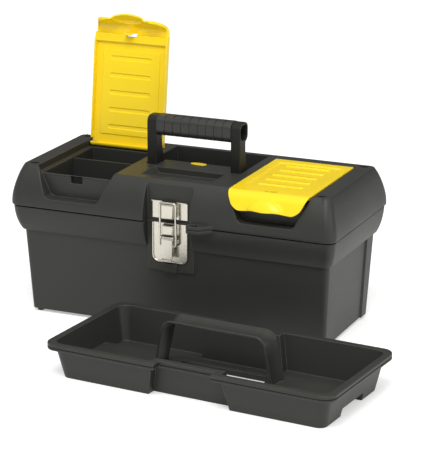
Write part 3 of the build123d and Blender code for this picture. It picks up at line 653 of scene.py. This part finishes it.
def rounded_copy(node, name, radius, material, cuts=(), turn=None, is_fine=None):
    """A piece that repeats a CAD node with its sharp edges rounded, some of them with a finer radius."""
    bm = bmesh.new()
    bm.from_mesh(frame["nodes"][node].data)
    bmesh.ops.remove_doubles(bm, verts=bm.verts, dist=WELD)
    bmesh.ops.dissolve_degenerate(bm, edges=bm.edges, dist=WELD)
    if turn:
        bmesh.ops.transform(bm, matrix=turn, verts=bm.verts)
    for axis, value in cuts:
        cut_flat(bm, axis, value)
    bmesh.ops.dissolve_limit(
        bm, angle_limit=FLAT, verts=bm.verts, edges=bm.edges, delimit={"SEAM"}, use_dissolve_boundaries=False
    )
    sharp = [edge for edge in bm.edges if len(edge.link_faces) == 2 and edge.calc_face_angle(0.0) > CORNER]
    small = []
    if is_fine:
        small = [edge for edge in sharp if is_fine((edge.verts[0].co + edge.verts[1].co) / 2)]
    chosen = set(small)
    faces = round_edges(bm, [edge for edge in sharp if edge not in chosen], radius)
    faces += round_edges(bm, [edge for edge in small if edge.is_valid], FINE_ROUND)
    mark_rounds(bm, faces)
    if turn:
        bmesh.ops.transform(bm, matrix=turn.inverted(), verts=bm.verts)
    link_piece(name, bm, node, material)


def keep_node(node, material):
    """A CAD node that stays as it is, with a finish."""
    mesh = frame["nodes"][node].data
    mesh.materials.clear()
    mesh.materials.append(material)


def ease(value, low, high):
    """A smooth step from 0 at low to 1 at high."""
    share = min(max((value - low) / (high - low), 0.0), 1.0)
    return share * share * (3.0 - 2.0 * share)


def closed_sheet(bm, columns, rows, top, under, is_open):
    """A sheet between two surfaces over a grid, with walls round its edge and its openings."""
    upper = [[bm.verts.new(top(i, j)) for i in range(columns)] for j in range(rows)]
    lower = [[bm.verts.new(under(i, j)) for i in range(columns)] for j in range(rows)]

    def solid(i, j):
        return 0 <= i < columns - 1 and 0 <= j < rows - 1 and not is_open(i, j)

    for j in range(rows - 1):
        for i in range(columns - 1):
            if not solid(i, j):
                continue
            ring = ((i, j), (i + 1, j), (i + 1, j + 1), (i, j + 1))
            bm.faces.new([upper[b][a] for a, b in ring])
            bm.faces.new([lower[b][a] for a, b in reversed(ring)])
            beside = ((i, j - 1), (i + 1, j), (i, j + 1), (i - 1, j))
            for side, neighbour in enumerate(beside):
                if not solid(*neighbour):
                    (a, b), (c, d) = ring[side], ring[(side + 1) % 4]
                    bm.faces.new((upper[d][c], upper[b][a], lower[b][a], lower[d][c]))
    loose = [vert for vert in bm.verts if not vert.link_faces]
    bmesh.ops.delete(bm, geom=loose, context="VERTS")


def rounded_block(bm, low, high, radius):
    """A box with rounded edges, added to a mesh."""
    low, high = Vector(low), Vector(high)
    place = Matrix.Translation((low + high) / 2) @ Matrix.Diagonal((*(high - low), 1.0))
    made = bmesh.ops.create_cube(bm, size=1.0, matrix=place)
    edges = {edge for vert in made["verts"] for edge in vert.link_edges}
    bmesh.ops.bevel(
        bm, geom=list(edges), offset=radius, segments=2, profile=0.5, affect="EDGES", clamp_overlap=True
    )


# Pieces
class TOOLBOX_OT_tub(bpy.types.Operator):
    """Tub, collar and main hinge pins"""

    bl_idname = "toolbox.tub"
    bl_label = "Tub"

    pad_cut = 3 * MM
    knuckle_cut = 128 * MM

    def execute(self, context):
        middle = BOX_MIDDLE.x
        hinge = JOINTS["lid_hinge"]["pos_m"]
        pad_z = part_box("latch_plate")[0].z
        cuts = [(0, middle), (1, (LID_LOW.y + hinge[1]) / 2), (2, pad_z + self.pad_cut)]
        for side in (-1, 1):
            cuts.append((0, middle + side * self.knuckle_cut))
        rounded_copy("base_tub", "tub", EDGE_ROUND, charcoal_plastic(context), cuts)
        keep_node("lid_hinge_pins", drawn_steel(context))
        return {"FINISHED"}


class TOOLBOX_OT_lid(bpy.types.Operator):
    """Lid with its wells, dividers and badge"""

    bl_idname = "toolbox.lid"
    bl_label = "Lid"

    wall_round = 0.4 * MM
    leg_cut = 53 * MM
    dimple_x = 179.5 * MM
    dimple_y = 69.5 * MM
    dimple_reach = 6.5 * MM
    badge_steps = 48
    badge_profile = (
        (1.0, 0.0),
        (1.0, 0.55),
        (0.97, 0.85),
        (0.92, 1.0),
        (0.84, 1.0),
        (0.79, 0.7),
        (0.5, 0.8),
        (0.2, 0.86),
    )

    def execute(self, context):
        plastic = charcoal_plastic(context)
        middle = BOX_MIDDLE.x
        organiser = JOINTS["right_organiser_hinge"]["pos_m"][0] - middle
        pivot = JOINTS["handle_fold"]["pos_m"]
        cuts = [(0, middle), (1, pivot[1]), (2, pivot[2])]
        for side in (-1, 1):
            cuts.append((0, middle + side * organiser))
            cuts.append((0, middle + side * self.dimple_x))
            cuts.append((0, middle + side * self.leg_cut))
        columns = [middle + side * self.dimple_x for side in (-1, 1)]
        rows = [BOX_MIDDLE_Y + side * self.dimple_y for side in (-1, 1)]
        cuts += [(1, y) for y in rows]

        def is_fine(spot):
            return any(math.hypot(spot.x - x, spot.y - y) < self.dimple_reach for x in columns for y in rows)

        rounded_copy("lid_shell", "lid", EDGE_ROUND, plastic, cuts, is_fine=is_fine)
        for side in ("left", "right"):
            rounded_copy(side + "_divider", side + "_wall", self.wall_round, plastic)
        self.badge(context)
        return {"FINISHED"}

    def badge(self, context):
        """A bare oval plate with a raised rim."""
        low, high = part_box("badge")
        centre = (low + high) / 2
        half = (high - low) / 2
        bm = bmesh.new()
        rings = []
        steps = self.badge_steps
        for reach, rise in self.badge_profile:
            ring = []
            for step in range(steps):
                angle = math.tau * step / steps
                shrink = half.y * (1.0 - reach)
                x = centre.x + (half.x - shrink) * math.cos(angle)
                y = centre.y + (half.y - shrink) * math.sin(angle)
                ring.append(bm.verts.new((x, y, low.z + rise * (high.z - low.z))))
            rings.append(ring)
        for inner, outer in zip(rings[1:], rings):
            for step in range(steps):
                after = (step + 1) % steps
                bm.faces.new((outer[step], outer[after], inner[after], inner[step]))
        bm.faces.new(rings[-1])
        bm.faces.new(list(reversed(rings[0])))
        link_piece("badge_plate", bm, "badge", yellow_plastic(context))


class TOOLBOX_OT_organisers(bpy.types.Operator):
    """The two yellow organiser lids and their pins"""

    bl_idname = "toolbox.organisers"
    bl_label = "Organiser Lids"

    soft = 0.45 * MM
    edge_round = 0.8 * MM
    coarse = 3.0 * MM
    dome_half = 22 * MM
    dome_squat = 0.7
    dome_fade = 0.2
    lip_corner = 9 * MM
    roll_turn = math.radians(200)
    slot_half = 7 * MM
    slot_near = 131.9 * MM
    slot_far = 136.1 * MM
    skirt_near = 5.5 * MM
    skirt_far = 134.9 * MM
    skirt_wide = 2.2 * MM
    skirt_deep = 5.8 * MM
    band_near = 124.5 * MM
    band_deep = 3.6 * MM
    rim_deep = 1.2 * MM
    lip_wave = 0.5 * MM
    lip_waves = 3.0
    tongue_half = 5 * MM
    tongue_foot = -13 * MM
    tongue_thick = 1.6 * MM
    tongue_root = 0.4 * MM
    tongue_round = 0.5 * MM
    barb_back = 0.8 * MM
    barb_tall = 2 * MM
    barb_round = 0.6 * MM
    roll_step = 0.7 * MM
    lip_step = 1.1 * MM
    dome_step = 1.3 * MM
    slot_step = 1.4 * MM
    bar_step = 0.6 * MM

    def execute(self, context):
        self.shape = context.scene.toolbox_organiser
        low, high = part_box("right_organiser_lid")
        self.half = (high.x - low.x) / 2
        self.roll_end = self.shape.roll * self.roll_turn
        self.flat_end = self.roll_end + self.shape.flat
        self.bend_end = self.flat_end + self.shape.bend * self.shape.lip_angle
        self.lip_end = self.bend_end + self.shape.lip_length
        material = yellow_plastic(context)
        open_angle = math.radians(JOINTS["right_organiser_hinge"]["range_deg"][1])
        for side, angle in (("left", -open_angle), ("right", 0.0)):
            self.build(side, angle, material)
            keep_node(side + "_organiser_pins", drawn_steel(context))
        return {"FINISHED"}

    def build(self, side, angle, material):
        """One lid, made closed about its hinge and turned to its rest place."""
        bm = bmesh.new()
        self.sheet(bm)
        self.tongue(bm)
        bmesh.ops.recalc_face_normals(bm, faces=bm.faces)
        mark_rounds(bm, ())
        hinge = Vector(JOINTS[side + "_organiser_hinge"]["pos_m"])
        bm.transform(Matrix.Translation(hinge) @ Matrix.Rotation(angle, 4, "X"))
        link_piece(side + "_cover", bm, side + "_organiser_lid", material)

    def place(self, along):
        """Point and outward normal of the outer surface, as (y, z) pairs, at a length along it."""
        shape = self.shape
        if along < self.roll_end:
            angle = math.pi / 2 - (self.roll_end - along) / shape.roll
            normal = Vector((math.cos(angle), math.sin(angle)))
            return normal * shape.roll, normal
        if along < self.flat_end:
            return Vector((self.roll_end - along, shape.roll)), Vector((0.0, 1.0))
        turn = min((along - self.flat_end) / shape.bend, shape.lip_angle)
        normal = Vector((-math.sin(turn), math.cos(turn)))
        point = Vector((-shape.flat, shape.roll - shape.bend)) + normal * shape.bend
        if along > self.bend_end:
            point += Vector((-math.cos(turn), -math.sin(turn))) * (along - self.bend_end)
        return point, normal

    def half_width(self, along):
        """Half of the sheet's width, drawn in as the lip drops and round its corners."""
        half = self.half
        if along > self.flat_end:
            half -= self.shape.taper * (self.shape.roll - self.place(along)[0].y)
        corner = along - (self.lip_end - self.lip_corner)
        if corner > 0.0:
            half -= self.lip_corner - math.sqrt(max(self.lip_corner**2 - corner**2, 0.0))
        return half

    def bar_places(self):
        """Lengths along the sheet of the raised bars."""
        shape = self.shape
        middle = self.roll_end + shape.panel_start + shape.panel_length / 2
        return [middle + shape.bar_pitch * (bar - (shape.bars - 1) / 2) for bar in range(shape.bars)]

    def relief(self, x, along):
        """Rise of the panel, bars and thumb dome above the plain sheet."""
        shape = self.shape
        soft = self.soft
        first = self.roll_end + shape.panel_start
        last = first + shape.panel_length
        inside_x = 1.0 - ease(abs(x), shape.panel_half - soft, shape.panel_half + soft)
        inside_y = ease(along, first - soft, first + soft) * (1.0 - ease(along, last - soft, last + soft))
        rise = -shape.sink * inside_x * inside_y
        bar_half = shape.bar_width / 2
        lengthwise = max(abs(x) - (shape.bar_length - shape.bar_width) / 2, 0.0)
        for bar in self.bar_places():
            away = math.hypot(along - bar, lengthwise)
            rise += shape.bar_rise * (1.0 - ease(away, bar_half - soft, bar_half + soft))
        from_lip = (self.lip_end - along) / (self.dome_squat * self.dome_half)
        ball = 1.0 - (x / self.dome_half) ** 2 - from_lip**2
        if ball > 0.0:
            rise += shape.dome * math.sqrt(ball) * ease(ball, 0.0, self.dome_fade)
        return rise

    def front(self, along):
        """0 over the seat, 1 before it."""
        soft = self.soft / 2
        return ease(along - self.roll_end, self.skirt_far - soft, self.skirt_far + soft)

    def depth(self, inward, along):
        """How far the side skirts, the front band and the lip's rim reach below the sheet."""
        soft = self.soft / 2
        reach = along - self.roll_end
        slope = ease(reach, self.band_near, self.skirt_far)
        skirt = ease(reach, self.skirt_near - soft, self.skirt_near + soft) * (
            self.skirt_deep * (1.0 - slope) + self.rim_deep * slope
        )
        band = self.band_deep * ease(reach, self.band_near - soft, self.band_near + soft) * (
            1.0 - self.front(along)
        )
        beside = 1.0 - ease(inward, self.skirt_wide - soft, self.skirt_wide + soft)
        return max(skirt * beside, band)

    def stations(self, low, high, marks):
        """Stations from low to high: coarse ones, and closer ones inside each (start, end, step) mark."""
        spots = [low]
        while spots[-1] < high - WELD:
            spot = spots[-1]
            steps = [step for start, end, step in marks if start - WELD <= spot < end - WELD]
            reach = spot + min(steps + [self.coarse])
            stops = [value for mark in marks for value in mark[:2] if spot + WELD < value < reach]
            spots.append(min(stops + [reach, high]))
        return spots

    def grid(self):
        """Stations across and along the sheet, close where its relief changes."""
        shape = self.shape
        soft = self.soft
        across = [(0.0, self.dome_half + soft, self.dome_step), (self.slot_half, self.slot_half + soft, soft)]
        bar_end = shape.bar_length / 2
        across.append((bar_end - shape.bar_width / 2, bar_end + soft, self.bar_step))
        across.append((shape.panel_half - soft, shape.panel_half + soft, soft / 2))
        across.append((self.half - self.skirt_wide - soft, self.half - self.skirt_wide + soft, soft / 2))
        across.append((self.half - self.edge_round, self.half, self.edge_round / 4))
        right = self.stations(0.0, self.half, across)
        columns = [-x for x in reversed(right[1:])] + right
        along = [(0.0, self.roll_end, self.roll_step), (self.flat_end, self.lip_end, self.lip_step)]
        first = self.roll_end + shape.panel_start
        for edge in (first, first + shape.panel_length):
            along.append((edge - soft, edge + soft, soft / 2))
        for bar in self.bar_places():
            along.append((bar - shape.bar_width / 2 - soft, bar + shape.bar_width / 2 + soft, 2 * soft / 3))
        along.append((self.roll_end + self.slot_near, self.roll_end + self.slot_far, self.slot_step))
        for edge in (self.skirt_near, self.band_near, self.skirt_far):
            along.append((self.roll_end + edge - soft, self.roll_end + edge + soft, soft / 2))
        along.append((self.lip_end - self.edge_round, self.lip_end, self.edge_round / 4))
        return columns, self.stations(0.0, self.lip_end, along)

    def sheet(self, bm):
        """The bent sheet with its relief, wavy front edge and tongue slot."""
        shape = self.shape
        columns, lengths = self.grid()

        def surface(i, j, under):
            along = lengths[j]
            half = self.half_width(along)
            x = columns[i] / self.half * half
            lip = max(0.0, along - self.bend_end) / (self.lip_end - self.bend_end)
            wave = self.lip_wave * (math.cos(self.lip_waves * math.pi * x / self.half) - 1.0)
            point, normal = self.place(along + lip * lip * wave)
            lift = self.relief(x, along)
            inward = min(half - abs(x), self.lip_end - along, along)
            drop = 0.0
            if inward < self.edge_round:
                run = self.edge_round - inward
                drop = self.edge_round - math.sqrt(max(self.edge_round**2 - run**2, 0.0))
            if under:
                lift += drop - shape.thickness - self.depth(half - abs(x), along)
            else:
                lift -= drop
            point = point + normal * lift
            below = shape.thickness + self.rim_deep if under else self.edge_round
            drawn_in = 1.0 - self.front(along) * shape.taper * below * normal.y / half
            return Vector((x * drawn_in, point.x, point.y))

        def is_open(i, j):
            x = (columns[i] + columns[i + 1]) / 2
            middle = (lengths[j] + lengths[j + 1]) / 2 - self.roll_end
            return abs(x) < self.slot_half and self.slot_near < middle < self.slot_far

        closed_sheet(
            bm,
            len(columns),
            len(lengths),
            lambda i, j: surface(i, j, False),
            lambda i, j: surface(i, j, True),
            is_open,
        )

    def tongue(self, bm):
        """The catch tongue before the slot, with its barb."""
        half = self.tongue_half
        thick = self.tongue_thick
        top = self.shape.roll - self.shape.thickness + self.tongue_root
        foot = self.tongue_foot
        near = -self.slot_far
        barb_low = (-half, near - self.barb_back, foot)
        barb_high = (half, near + thick, foot + self.barb_tall)
        rounded_block(bm, (-half, near - thick, foot), (half, near, top), self.tongue_round)
        rounded_block(bm, barb_low, barb_high, self.barb_round)


class TOOLBOX_OT_handle(bpy.types.Operator):
    """Folding handle with its ribbed grip and pins"""

    bl_idname = "toolbox.handle"
    bl_label = "Handle"

    leg_round = 1.1 * MM
    grip_round = 0.3 * MM

    def execute(self, context):
        pivot = JOINTS["handle_fold"]["pos_m"]
        grip_low, grip_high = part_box("handle_grip")
        grip_z = (grip_low.z + grip_high.z) / 2
        cuts = [(0, BOX_MIDDLE.x), (1, pivot[1]), (2, grip_z), (2, pivot[2])]
        rounded_copy("handle_frame", "handle_legs", self.leg_round, shaded_leg_plastic(context), cuts)
        cuts = [(1, pivot[1]), (2, grip_z)]
        rounded_copy("handle_grip", "grip", self.grip_round, grip_plastic(context), cuts)
        keep_node("handle_pins", drawn_steel(context))
        return {"FINISHED"}


class TOOLBOX_OT_latch(bpy.types.Operator):
    """Draw latch: keeper, plate, lever, bail and rivets"""

    bl_idname = "toolbox.latch"
    bl_label = "Latch"

    plate_round = 0.35 * MM
    lever_round = 0.25 * MM
    stud_round = 0.45 * MM
    stud_head = 2.8 * MM
    bail_below = 9.5 * MM

    def execute(self, context):
        nickel = nickel_plate(context)
        lever = JOINTS["latch_lever_pivot"]["pos_m"]
        middle = BOX_MIDDLE.x
        keeper_low, keeper_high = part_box("keeper_plate")
        rivets_low, rivets_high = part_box("latch_plate_rivets")
        keeper_cuts = [(0, middle), (2, (keeper_low.z + keeper_high.z) / 2)]
        stud_rows = [(2, rivets_low.z + self.stud_head), (2, rivets_high.z - self.stud_head)]
        plate_cuts = [(0, middle), (2, lever[2]), *stud_rows]
        lever_cuts = [(0, middle), (2, lever[2]), (2, lever[2] - self.bail_below)]
        rounded_copy("keeper_plate", "keeper", self.plate_round, nickel, keeper_cuts)
        rounded_copy("latch_plate", "backplate", self.plate_round, nickel, plate_cuts)
        rounded_copy("latch_lever", "lever", self.lever_round, nickel, lever_cuts)
        for node in ("keeper_rivets", "latch_plate_rivets"):
            rounded_copy(node, node.replace("rivets", "studs"), self.stud_round, nickel, [(0, middle)])
        for node in ("latch_bail", "lever_pin"):
            keep_node(node, nickel)
        return {"FINISHED"}


class TOOLBOX_OT_tray(bpy.types.Operator):
    """Lift-out tray with its arched handle"""

    bl_idname = "toolbox.tray"
    bl_label = "Tray"

    turn = math.radians(4.9)
    trough_cut = 45 * MM
    slit_low = 36 * MM
    slit_high = 39 * MM

    def execute(self, context):
        centre = (TRAY_LOW + TRAY_HIGH) / 2
        to_middle = Matrix.Translation(-Vector((centre.x, centre.y, 0.0)))
        square = Matrix.Rotation(self.turn, 4, "Z") @ to_middle
        cuts = [(0, 0.0), (1, 0.0), (1, self.trough_cut), (1, -self.trough_cut)]

        def is_fine(spot):
            return self.slit_low < spot.z < self.slit_high

        rounded_copy("tray", "lift_out_tray", EDGE_ROUND, charcoal_plastic(context), cuts, square, is_fine)
        return {"FINISHED"}


class TOOLBOX_OT_stage(bpy.types.Operator):
    """Floor, lamps and camera"""

    bl_idname = "toolbox.stage"
    bl_label = "Stage"

    floor_half = 60.0
    key_place = (0.35, -1.35, 2.1)
    key_size = 1.1
    side_place = (1.8, -0.4, 0.8)
    side_size = 0.9
    lamp_aim = (0.0, 0.0, 0.1)
    camera_aim_z = 100 * MM
    sensor = 36.0
    shift = (0.0276, 0.0175)
    sky_top = 0.8
    sky_low = 0.34
    sky_high = 0.8
    behind_lean = -0.45
    behind_near = 0.05
    behind_far = 0.75
    behind_dim = 0.22

    def execute(self, context):
        scene = context.scene
        scene.view_settings.view_transform = "Standard"
        self.floor(context)
        self.world(scene)
        stage = scene.toolbox_stage
        self.lamp("key_lamp", self.key_place, stage.key, self.key_size)
        self.lamp("side_lamp", self.side_place, stage.side, self.side_size)
        self.camera(scene, stage)
        return {"FINISHED"}

    def floor(self, context):
        """A wide, flat floor."""
        bm = bmesh.new()
        bmesh.ops.create_grid(bm, x_segments=2, y_segments=2, size=self.floor_half)
        mesh = bpy.data.meshes.new("floor")
        bm.to_mesh(mesh)
        bm.free()
        mesh.materials.append(studio_floor(context))
        floor = bpy.data.objects.new("floor", mesh)
        context.scene.collection.objects.link(floor)

    def world(self, scene):
        """Soft light from above and before the box, darker behind it."""
        world = bpy.data.worlds.new("studio")
        scene.world = world
        world.use_nodes = True
        tree = world.node_tree
        back = tree.nodes["Background"]
        back.inputs["Color"].default_value = (1.0, 1.0, 1.0, 1.0)
        way = add_node(tree, "ShaderNodeTexCoord")
        parts = add_node(tree, "ShaderNodeSeparateXYZ", {0: (way, "Generated")})
        rise = add_node(
            tree,
            "ShaderNodeMapRange",
            {
                "Value": (parts, "Z"),
                "From Min": 0.0,
                "From Max": self.sky_top,
                "To Min": self.sky_low,
                "To Max": self.sky_high,
            },
            clamp=True,
        )
        lean = maths(tree, "MULTIPLY_ADD", (parts, "Z"), self.behind_lean)
        tree.links.new(parts.outputs["Y"], lean.inputs[2])
        behind = add_node(
            tree,
            "ShaderNodeMapRange",
            {
                "Value": (lean, 0),
                "From Min": self.behind_near,
                "From Max": self.behind_far,
                "To Min": 1.0,
                "To Max": self.behind_dim,
            },
            clamp=True,
        )
        strength = maths(tree, "MULTIPLY", (rise, "Result"), (behind, "Result"))
        tree.links.new(strength.outputs[0], back.inputs["Strength"])

    def lamp(self, name, place, power, size):
        """A square area lamp aimed at the box."""
        light = bpy.data.lights.new(name, "AREA")
        light.energy = power
        light.size = size
        lamp = bpy.data.objects.new(name, light)
        bpy.context.scene.collection.objects.link(lamp)
        lamp.location = place
        lamp.rotation_euler = (Vector(self.lamp_aim) - lamp.location).to_track_quat("-Z", "Y").to_euler()

    def camera(self, scene, stage):
        """The photograph's view, with a small shift for its framing."""
        data = bpy.data.cameras.new("camera")
        data.lens = stage.lens
        data.sensor_width = self.sensor
        data.shift_x, data.shift_y = self.shift
        camera = bpy.data.objects.new("camera", data)
        scene.collection.objects.link(camera)
        target = Vector((BOX_MIDDLE.x, BOX_MIDDLE_Y, self.camera_aim_z))
        back = Vector(
            (
                math.sin(stage.azimuth) * math.cos(stage.elevation),
                -math.cos(stage.azimuth) * math.cos(stage.elevation),
                math.sin(stage.elevation),
            )
        )
        camera.location = target + stage.distance * back
        camera.rotation_euler = back.to_track_quat("Z", "Y").to_euler()
        scene.camera = camera


class TOOLBOX_PT_panel(bpy.types.Panel):
    """The pieces of the toolbox, in building order"""

    bl_idname = "TOOLBOX_PT_panel"
    bl_label = "Toolbox"
    bl_space_type = "VIEW_3D"
    bl_region_type = "UI"
    bl_category = "Toolbox"

    def draw(self, context):
        for operator in OPERATORS:
            self.layout.operator(operator.bl_idname)


GROUPS = {
    "toolbox_finish": ToolboxFinish,
    "toolbox_organiser": ToolboxOrganiser,
    "toolbox_stage": ToolboxStage,
}
OPERATORS = (
    TOOLBOX_OT_tub,
    TOOLBOX_OT_lid,
    TOOLBOX_OT_organisers,
    TOOLBOX_OT_handle,
    TOOLBOX_OT_latch,
    TOOLBOX_OT_tray,
    TOOLBOX_OT_stage,
)


def register():
    """Adds the settings, the operators and the panel."""
    for name, group in GROUPS.items():
        bpy.utils.register_class(group)
        setattr(bpy.types.Scene, name, PointerProperty(type=group))
    for operator in OPERATORS:
        bpy.utils.register_class(operator)
    bpy.utils.register_class(TOOLBOX_PT_panel)


def unregister():
    """Takes them away again."""
    bpy.utils.unregister_class(TOOLBOX_PT_panel)
    for operator in reversed(OPERATORS):
        bpy.utils.unregister_class(operator)
    for name, group in GROUPS.items():
        delattr(bpy.types.Scene, name)
        bpy.utils.unregister_class(group)


def main():
    """Dresses the toolbox piece by piece."""
    register()
    bpy.ops.toolbox.tub()
    bpy.ops.toolbox.lid()
    bpy.ops.toolbox.organisers()
    bpy.ops.toolbox.handle()
    bpy.ops.toolbox.latch()
    bpy.ops.toolbox.tray()
    bpy.ops.toolbox.stage()


if __name__ == "__main__":
    main()
